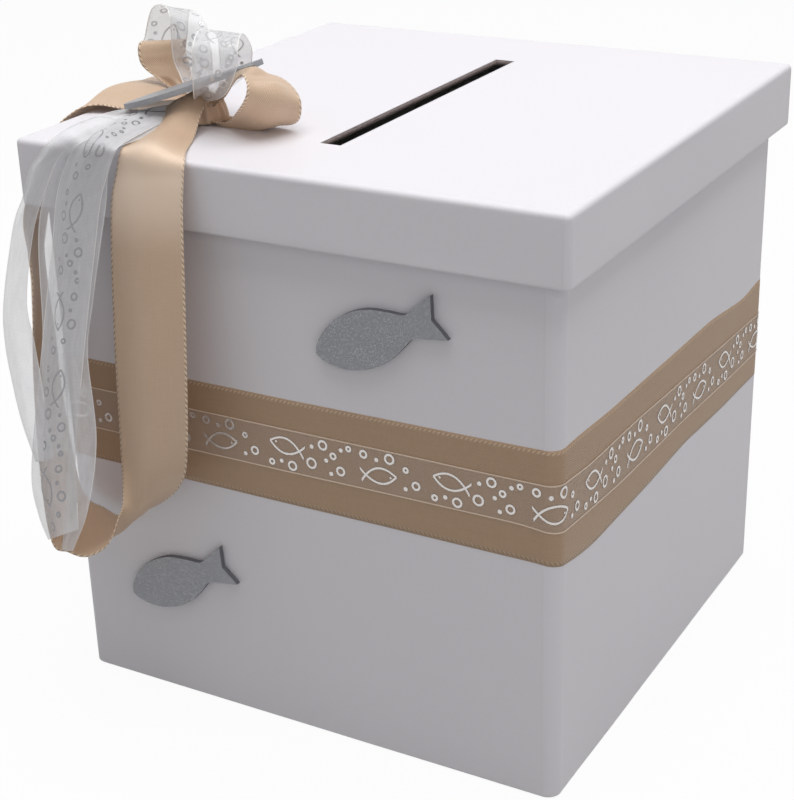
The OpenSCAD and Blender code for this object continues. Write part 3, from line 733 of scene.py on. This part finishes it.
# Stations of each ribbon, from the knot outwards or round: x, y, z of one edge and x, y, z of the other.
ROUTES = {
    "long": [
        (-60, -60, 223, -52, -58, 223), (-64, -67, 221, -50, -69, 220), (-66, -80, 215, -45, -82, 214),
        (-62, -97, 214, -38, -96, 214), (-58, -106, 214, -31, -107, 214), (-60, -107, 206, -30, -110, 208),
        (-63, -108, 192, -30, -112, 195), (-65, -110, 150, -28, -118, 156), (-64, -114, 106, -29, -121, 116),
        (-62, -117, 96, -36, -117, 100), (-60, -121, 88, -51, -109, 86), (-60, -124, 84, -66, -104, 76),
        (-60, -128, 79, -76, -104, 72), (-63, -130, 74, -84, -104, 74), (-70, -132, 70, -89, -104, 75),
        (-78, -132, 70, -92, -105, 80), (-87, -130, 71, -94, -105, 90), (-94, -124, 94, -97, -104, 116),
        (-98, -117, 130, -108, -92, 134), (-99, -111, 161, -116, -84, 156), (-101, -109, 173, -119, -79, 168),
        (-106, -103, 186, -123, -64, 182), (-109, -84, 206, -110, -45, 199), (-106, -72, 214, -107, -32, 214),
        (-100, -66, 216, -101, -28, 218), (-88, -66, 216, -88, -30, 218), (-76, -63, 216, -76, -38, 217),
        (-65, -59, 216, -62, -52, 216)],
    "right": [
        (-54, -61, 217, -51, -56, 217), (-44, -64, 224, -50, -53, 225), (-34, -72, 232, -40, -52, 230),
        (-28, -76, 236, -30, -52, 230), (-24, -79, 234, -22, -55, 228), (-24, -80, 230, -16, -59, 224),
        (-30, -76, 224, -18, -58, 217), (-42, -66, 216, -26, -56, 214), (-49, -65, 215, -40, -56, 214),
        (-54, -61, 215, -52, -55, 215)],
    "left": [
        (-63, -57, 218, -58, -54, 219), (-83, -46, 221, -70, -45, 220), (-94, -43, 225, -75, -41, 227),
        (-97, -42, 229, -77, -40, 232), (-98, -40, 233, -79, -39, 235), (-98, -36, 233, -80, -35, 235),
        (-96, -36, 228, -80, -36, 229), (-86, -40, 221, -75, -40, 220), (-62, -53, 217, -57, -51, 218)],
    "back": [
        (-60, -62, 220, -57, -57, 221), (-73, -50, 226, -61, -47, 226), (-77, -48, 232, -61, -46, 233),
        (-77, -48, 244, -62, -46, 240), (-80, -45, 248, -65, -43, 245), (-88, -38, 248, -74, -36, 246),
        (-98, -31, 244, -82, -29, 244), (-104, -28, 234, -86, -26, 234), (-104, -29, 229, -86, -27, 229),
        (-92, -30, 226, -76, -26, 226), (-58, -52, 220, -54, -51, 220)],
    "front": [
        (-57, -64, 221, -53, -63, 221), (-47, -78, 229, -36, -75, 228), (-45, -80, 240, -29, -77, 238),
        (-46, -77, 246, -30, -74, 245), (-52, -64, 247, -37, -61, 246), (-56, -50, 242, -44, -47, 240),
        (-60, -43, 234, -47, -41, 234), (-60, -44, 226, -49, -42, 227), (-57, -54, 221, -53, -54, 221)],
    "inner": [
        (-65, -62, 215, -60, -65, 215), (-84, -69, 215, -67, -73, 215), (-85, -90, 214, -67, -92, 214),
        (-80, -106, 214, -64, -106, 214), (-84, -108, 209, -68, -108, 209), (-91, -109, 195, -73, -109, 195),
        (-94, -111, 179, -76, -111, 180), (-92, -116, 150, -79, -115, 150), (-92, -119, 134, -80, -119, 134),
        (-91, -125, 103, -80, -124, 106)],
    "side": [
        (-63, -62, 216, -57, -64, 216), (-71, -75, 216, -57, -79, 216), (-73, -92, 215, -59, -95, 215),
        (-71, -107, 215, -59, -107, 215), (-72, -109, 210, -61, -109, 210), (-75, -110, 196, -63, -110, 196),
        (-76, -112, 180, -66, -112, 180), (-79, -115, 161, -69, -115, 161), (-82, -118, 143, -71, -118, 143),
        (-78, -125, 112, -66, -124, 114), (-78, -131, 85, -68, -130, 89), (-78, -135, 73, -73, -135, 73)],
    "print": [
        (-64, -61, 217, -58, -64, 217), (-78, -74, 217, -60, -78, 217), (-78, -93, 216, -60, -95, 216),
        (-73, -108, 216, -57, -108, 216), (-77, -110, 211, -59, -110, 211), (-83, -111, 198, -64, -111, 198),
        (-86, -113, 180, -67, -113, 181), (-90, -118, 149, -71, -118, 150), (-93, -125, 115, -73, -125, 118),
        (-93, -130, 95, -73, -129, 102), (-89, -133, 83, -71, -132, 90), (-84, -135, 75, -70, -134, 82)],
    "outer": [
        (-65, -59, 218, -60, -63, 218), (-83, -75, 218, -67, -77, 218), (-86, -95, 217, -72, -95, 217),
        (-83, -110, 217, -70, -110, 217), (-92, -112, 207, -80, -111, 211), (-97, -113, 195, -87, -112, 199),
        (-102, -114, 184, -93, -114, 183), (-107, -118, 157, -96, -118, 159),
        (-106, -121, 142, -93, -120, 145), (-102, -124, 128, -89, -123, 130),
        (-98, -126, 115, -86, -126, 118), (-91, -129, 102, -82, -129, 105)],
}

ROUTE_STEPS, RIBBON_COLUMNS = 12, 25
DEEPEST_FOLD = 3.2


def ribbon(name, route, width, folds, cap, ripple):
    """Strip between two smooth edge lines. Across it the surface lifts off the straight chord in raised
    cosines, as high as it takes for the strip to keep its width, and at most `cap` times the chord; the
    gathered ends may fold more. A slow sine ripples it along."""
    edges = np.array(route, float)
    left, right = smooth_line(edges[:, :3], ROUTE_STEPS), smooth_line(edges[:, 3:], ROUTE_STEPS)
    chord = right - left
    span = np.linalg.norm(chord, axis=1)
    middle = (left + right) / 2
    travel = np.concatenate([[0], np.cumsum(np.linalg.norm(np.diff(middle, axis=0), axis=1))])
    lift = np.cross(np.gradient(middle, axis=0), chord)
    lift /= np.linalg.norm(lift, axis=1)[:, None]
    u = np.linspace(0, 1, RIBBON_COLUMNS)
    pleat = 0.5 * (1 - np.cos(2 * np.pi * folds * u)) * (0.85 + 0.15 * np.cos(np.pi * u))
    trial = np.linspace(0, 1, 81)
    arc = np.sqrt(np.diff(u) ** 2 + (trial[:, None] * np.diff(pleat)) ** 2).sum(1)
    end = np.minimum(travel, travel[-1] - travel)
    most = cap + 0.25 * np.exp(-(end / 14) ** 2)
    height = np.interp(np.clip(width / span, 1, most), arc, trial) * span
    height = np.minimum(height, DEEPEST_FOLD)
    wave = ripple * np.sin(travel[:, None] / 6.5 + 2 * u) * np.sin(np.pi * u)
    off = height[:, None] * pleat + wave
    points = left[:, None] * (1 - u)[:, None] + right[:, None] * u[:, None] + lift[:, None] * off[..., None]
    cloth = np.stack(np.broadcast_arrays(u * width, travel[:, None]), -1)
    return surface(name, points, cloth=cloth), travel[-1]


KNOT_X, KNOT_Y, KNOT_FOOT = -58, -58, 213.6
KNOT_RADIUS, KNOT_HEIGHT, KNOT_PLEATS = 8.9, 9.0, 13
KNOT_ROWS, KNOT_COLUMNS = 20, 144
KNOT_CLOTH_WIDTH, KNOT_CLOTH_LENGTH = 50, 15


def gathered_knot():
    """Satin gathered over the glue: a low dome, from powers of a sine and cosine, whose skin swells and
    sinks in uneven pleats round it, less so towards the top."""
    turn = np.linspace(0, 2 * np.pi, KNOT_COLUMNS, endpoint=False)[None, :]
    up = np.linspace(0, 1, KNOT_ROWS)[:, None]
    lean = up * np.pi / 2
    pleat = 0.45 * np.sin(KNOT_PLEATS * turn + 1.6 * np.sin(2 * turn) + 2.5 * up) * (1 - up ** 2)
    radius = KNOT_RADIUS * np.cos(lean) ** 0.55 + pleat
    radius[-1] = 0.25
    z = KNOT_FOOT + KNOT_HEIGHT * np.sin(lean) ** 1.1 + 0.35 * pleat
    points = np.stack([KNOT_X + radius * np.cos(turn), KNOT_Y + radius * np.sin(turn), z], -1)
    around = np.linspace(0, KNOT_CLOTH_WIDTH, KNOT_COLUMNS + 1)[None, :]
    cloth = np.stack(np.broadcast_arrays(KNOT_CLOTH_LENGTH * up, around), -1)
    return surface("gathered_satin_knot", points, around=True, cloth=cloth)


# ---------------------------------------------------------------- wooden fish

# Upper half of the outline from the nose to the tail's tip. The waist is where the tail starts to widen.
FISH_HALF = [[0, 0], [1.6, 2.8], [5, 5.7], [10.3, 8.4], [18.5, 9.9], [25.8, 9.2], [33, 6.4], [38.3, 4.1],
             [42.7, 5.3], [50.5, 7.7]]
FISH_WAIST, FISH_TIP = FISH_HALF[7][0], FISH_HALF[-1][0]
FISH_NOTCH = 47.4
FISH_THICK = 2.0


def wooden_fish(name, nose, rise, turn, roll):
    """Flat fish that points back from its nose: from +X it rises and turns, and from lying flat it rolls
    about its own length. For each point of the upper outline a row runs to its mirror below, bent back at
    the tail so that the last row is the notch."""
    edge = smooth_line(np.array(FISH_HALF, float), 10)
    late = np.clip((edge[:, 0] - FISH_WAIST) / (FISH_TIP - FISH_WAIST), 0, 1)
    late_x = FISH_WAIST + (edge[:, 0] - FISH_WAIST) * (FISH_NOTCH - FISH_WAIST) / (FISH_TIP - FISH_WAIST)
    core = edge[:, 0] * (1 - late ** 1.5) + late_x * late ** 1.5
    t = np.linspace(-1, 1, 17)
    x = core[:, None] + (edge[:, 0] - core)[:, None] * np.abs(t)
    y = edge[:, 1][:, None] * t
    x[0] = edge[0, 0] + 0.02 * (1 - t ** 2)
    y[0] = t * 0.3
    rise, turn, roll = (math.radians(angle) for angle in (rise, turn, roll))
    ahead = np.array([math.cos(rise) * math.cos(turn), math.cos(rise) * math.sin(turn), math.sin(rise)])
    level = np.array([-math.sin(turn), math.cos(turn), 0])
    aside = math.cos(roll) * level + math.sin(roll) * np.cross(ahead, level)
    points = np.array(nose) + np.stack([x, y], -1) @ np.array([ahead, aside])
    points = points + FISH_THICK / 2 * np.cross(ahead, aside)
    piece = surface(name, points)
    thicken(piece, FISH_THICK, rim=1)
    bevel = piece.modifiers.new("soft edge", "BEVEL")
    bevel.width = 0.3 * MM
    bevel.segments = 3
    bevel.limit_method = "ANGLE"
    bevel.angle_limit = math.radians(50)
    return piece


# ---------------------------------------------------------------- stage

CAMERA_SPOT = (0.30187, -0.55121, 0.37037)
CAMERA_AZIMUTH, CAMERA_ELEVATION, CAMERA_ROLL = (math.radians(angle) for angle in (29.937, 23.846, -1.6875))
CAMERA_LENS = 78.39
FLOOR_HALF, FLOOR_Z = 4.0, -0.0002
FLOOR_GLOW, FLOOR_GLOW_SHARE = 1.07, 0.88
WORLD_LIGHT = 0.32

# name, place, aimed at, side, power
LAMPS = [
    ("overhead_softbox", (0.1, 0.0, 1.6), (0, 0, 0.1), 1.4, 19),
    ("right_softbox", (1.5, -1.2, 0.9), (0, 0, 0.1), 1.0, 3),
]


def stand(name, data, right, up, back, spot):
    """Puts a camera or lamp at a spot, facing away from back."""
    piece = bpy.data.objects.new(name, data)
    bpy.context.scene.collection.objects.link(piece)
    piece.matrix_world = Matrix([[right[i], up[i], back[i], spot[i]] for i in range(3)] + [[0, 0, 0, 1]])
    return piece


def place_camera():
    """Camera at the right of and above the front, tipped down and a little rolled."""
    flat, high = math.cos(CAMERA_ELEVATION), math.sin(CAMERA_ELEVATION)
    back = np.array([math.sin(CAMERA_AZIMUTH) * flat, -math.cos(CAMERA_AZIMUTH) * flat, high])
    right = np.cross(-back, [0, 0, 1])
    right /= np.linalg.norm(right)
    up = np.cross(right, -back)
    cosine, sine = math.cos(CAMERA_ROLL), math.sin(CAMERA_ROLL)
    data = bpy.data.cameras.new("camera")
    data.lens = CAMERA_LENS
    data.sensor_width = 36
    data.clip_start = 0.01
    data.clip_end = 20
    camera = stand("camera", data, cosine * right + sine * up, cosine * up - sine * right, back, CAMERA_SPOT)
    bpy.context.scene.camera = camera


def seen_directly(tree):
    """1 for rays from the camera, from gloss or through glass."""
    path = tree.nodes.new("ShaderNodeLightPath").outputs
    return larger(tree, path["Is Camera Ray"], path["Is Glossy Ray"], path["Is Transmission Ray"])


def build_stage():
    """Pale floor that keeps the shadow, white surroundings, and soft light mostly from above."""
    mesh = bpy.data.meshes.new("floor")
    corners = [(x * FLOOR_HALF, y * FLOOR_HALF, FLOOR_Z) for x, y in ((-1, -1), (1, -1), (1, 1), (-1, 1))]
    mesh.from_pydata(corners, [], [(0, 1, 2, 3)])
    floor = bpy.data.objects.new("floor", mesh)
    bpy.context.scene.collection.objects.link(floor)
    material = bpy.data.materials.new("pale floor")
    material.use_nodes = True
    tree = material.node_tree
    tree.nodes.clear()
    plain = tree.nodes.new("ShaderNodeBsdfDiffuse")
    plain.inputs[0].default_value = (0.45, 0.45, 0.45, 1)
    bright = tree.nodes.new("ShaderNodeEmission")
    bright.inputs[0].default_value = (1, 1, 1, 1)
    bright.inputs[1].default_value = FLOOR_GLOW
    mix = tree.nodes.new("ShaderNodeMixShader")
    feed(tree, times(tree, seen_directly(tree), FLOOR_GLOW_SHARE), mix.inputs[0])
    tree.links.new(plain.outputs[0], mix.inputs[1])
    tree.links.new(bright.outputs[0], mix.inputs[2])
    out = tree.nodes.new("ShaderNodeOutputMaterial")
    tree.links.new(mix.outputs[0], out.inputs[0])
    mesh.materials.append(material)
    world = bpy.data.worlds.new("white surroundings")
    bpy.context.scene.world = world
    world.use_nodes = True
    tree = world.node_tree
    ground = tree.nodes["Background"]
    ground.inputs[0].default_value = (1, 1, 1, 1)
    feed(tree, ramp(tree, seen_directly(tree), 0.0, 1.0, WORLD_LIGHT, 1.0), ground.inputs[1])
    for name, spot, aim, side, power in LAMPS:
        lamp = bpy.data.lights.new(name, "AREA")
        lamp.shape = "RECTANGLE"
        lamp.size = lamp.size_y = side
        lamp.energy = power
        back = np.array(spot, float) - np.array(aim, float)
        back /= np.linalg.norm(back)
        right = np.cross([0, 1, 0.01], back)
        right /= np.linalg.norm(right)
        stand(name, lamp, right, np.cross(back, right), back, spot)


# ---------------------------------------------------------------- assembly

place_camera()
build_stage()

COVER = cover_paper()
LINING = lining_paper()
BOARD = grey_board()
KRAFT = kraft_tape()
TAPE = clear_tape()
GLUE = hot_glue()
FISH_PAINT = silver_paint()
FISH_EDGE_SHADE = fish_edge_shade()
# Dark, light and stitch colours of the satin; the span from dark to light is painted sheen.
SATIN_SHEEN_TONES = ((0.588, 0.41, 0.277, 1), (0.75, 0.547, 0.393, 1), (0.93, 0.745, 0.57, 1))
# The same champagne satin in darker tones: painted shade for its weaker sheen round the box.
BAND_SHADED_TONES = ((0.46, 0.315, 0.207, 1), (0.575, 0.402, 0.28, 1), (0.80, 0.64, 0.48, 1))
# The long strand's gleam is a painted highlight.
BOW_SATIN = satin("champagne satin", 40.0, *SATIN_SHEEN_TONES, gleam=(62, 26))
NARROW_SATIN = {w: satin("champagne satin %d" % w, float(w), *SATIN_SHEEN_TONES) for w in (16, 25)}
KNOT_SATIN = satin("gathered champagne satin", 50.0, *SATIN_SHEEN_TONES, inset=-5.0)
# Band satin in the darker, painted-shade tones.
BAND_SATIN = satin("band satin in painted shade", 40.0, *BAND_SHADED_TONES, 0.0, 1.7, 1.1, contrast=0.5, gloss=0.12)

NODE_FINISH = {
    "base_paper": COVER, "base_board": BOARD, "wall_front_board": BOARD, "wall_back_board": BOARD,
    "wall_left_board": BOARD, "wall_right_board": BOARD, "body_corner_tapes": KRAFT,
    "body_liner_floor": LINING, "body_liner_walls": LINING, "band_end_tape": TAPE, "fish_glue_dots": GLUE,
    "lid_rim_front_board": BOARD, "lid_rim_back_board": BOARD, "lid_rim_left_board": BOARD,
    "lid_rim_right_board": BOARD, "lid_corner_tapes": KRAFT, "bow_fish_glue": GLUE,
}
for node_name, finish in NODE_FINISH.items():
    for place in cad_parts[node_name].material_slots:
        place.material = finish

dress(body_cover(), "box", [COVER], "body_wrap")
dress(lid_cover(), "lid", [COVER], "lid_wrap")
dress(lid_board(), "lid", [BOARD], "lid_top_board")
dress(lid_lining(), "lid", [LINING], "lid_liner")

satin_strip, satin_around = band_strip("satin_band_strip", 0.11, SATIN_LOW, SATIN_HIGH, 21, 40.0, 0.05)
thicken(satin_strip, 0.2, 1.0)
dress(satin_strip, "box", [BAND_SATIN], "satin_band")

organza_strip, organza_around = band_strip(
    "organza_band_strip", 0.38, ORGANZA_LOW, ORGANZA_HIGH, 13, 16.0, 0.03)
# The silver print is given a pale grey here and darker greys on the bow: one print with painted light and
# shade.
BAND_ORGANZA = organza("band organza", 16.0, 0.16, (0.74, 0.69, 0.66, 1), (0.85, 0.68, 0.53, 1), 0.9,
                       (0.78, 0.75, 0.73, 1), 0.03)
dress(organza_strip, "box", [BAND_ORGANZA], "organza_band")

SHEER_TONES = ((0.80, 0.80, 0.825, 1), (0.93, 0.91, 0.90, 1), 0.85)
SHEER = organza("sheer organza", 16.0, 0.60, *SHEER_TONES, glow=0.02)
# Print greys darker on the loops and darkest on the wide tail: painted shade on the silver print.
PRINTED_LOOP = organza("printed organza", 16.0, 0.48, *SHEER_TONES, (0.55, 0.55, 0.57, 1))
PRINTED_TAIL = organza("wide printed organza", 25.0, 0.60, *SHEER_TONES, (0.30, 0.30, 0.32, 1), 0.02)
SATIN_THICK = 0.3
LOOP_RIPPLE, TAIL_RIPPLE = 0.08, 0.25

# piece, route, CAD node, material, flat width, folds, most fullness, held
BOW = [
    ("bow_satin_long", "long", "satin_long_loop", BOW_SATIN, 40, 1, 1.06, "hung"),
    ("bow_satin_right", "right", "satin_right_loop", NARROW_SATIN[25], 25, 1, 1.15, "gathered"),
    ("bow_satin_left", "left", "satin_left_loop", NARROW_SATIN[16], 16, 2, 1.2, "gathered"),
    ("bow_organza_back", "back", "organza_back_loop", PRINTED_LOOP, 16, 1, 1.0, "gathered"),
    ("bow_organza_front", "front", "organza_front_loop", PRINTED_LOOP, 16, 1, 1.0, "gathered"),
    ("organza_tail_inner_strip", "inner", "organza_tail_inner", SHEER, 16, 1, 1.10, "hung"),
    ("organza_tail_side_strip", "side", "organza_tail_side", SHEER, 16, 1, 1.10, "hung"),
    ("organza_tail_print_strip", "print", "organza_tail_printed", PRINTED_TAIL, 25, 1, 1.15, "hung"),
    ("organza_tail_left_strip", "outer", "organza_tail_left", SHEER, 16, 1, 1.10, "hung"),
]
knot = gathered_knot()
dress(knot, "lid", [KNOT_SATIN], "bow_glue_pad")
for name, route, node, finish, width, folds, cap, held in BOW:
    ripple = LOOP_RIPPLE if "loop" in node else TAIL_RIPPLE
    cloth = "satin" if "satin" in node else "organza"
    piece, length = ribbon(name, ROUTES[route], float(width), folds, cap, ripple)
    if cloth == "satin":
        thicken(piece, SATIN_THICK)
    dress(piece, "lid", [finish], node)

# piece, body, CAD node, material of the cut edge, nose, rise, turn, roll
FISHES = [
    # The wall fish's dark cut edges are painted shade.
    ("upper_wooden_fish", "box", "upper_fish", FISH_EDGE_SHADE, (13.2, -100.5, 152.5), 23.4, 0, 90),
    ("lower_wooden_fish", "box", "lower_fish", FISH_EDGE_SHADE, (-74.4, -100.5, 39.1), 26.5, 0, 90),
    ("bow_wooden_fish", "lid", "bow_fish", FISH_PAINT, (-78, -76.2, 219.1), 16.5, 26.1, -5.5),
]
for name, body, node, rim, *pose in FISHES:
    dress(wooden_fish(name, *pose), body, [FISH_PAINT, rim], node)

bpy.context.scene.view_settings.view_transform = "Standard"
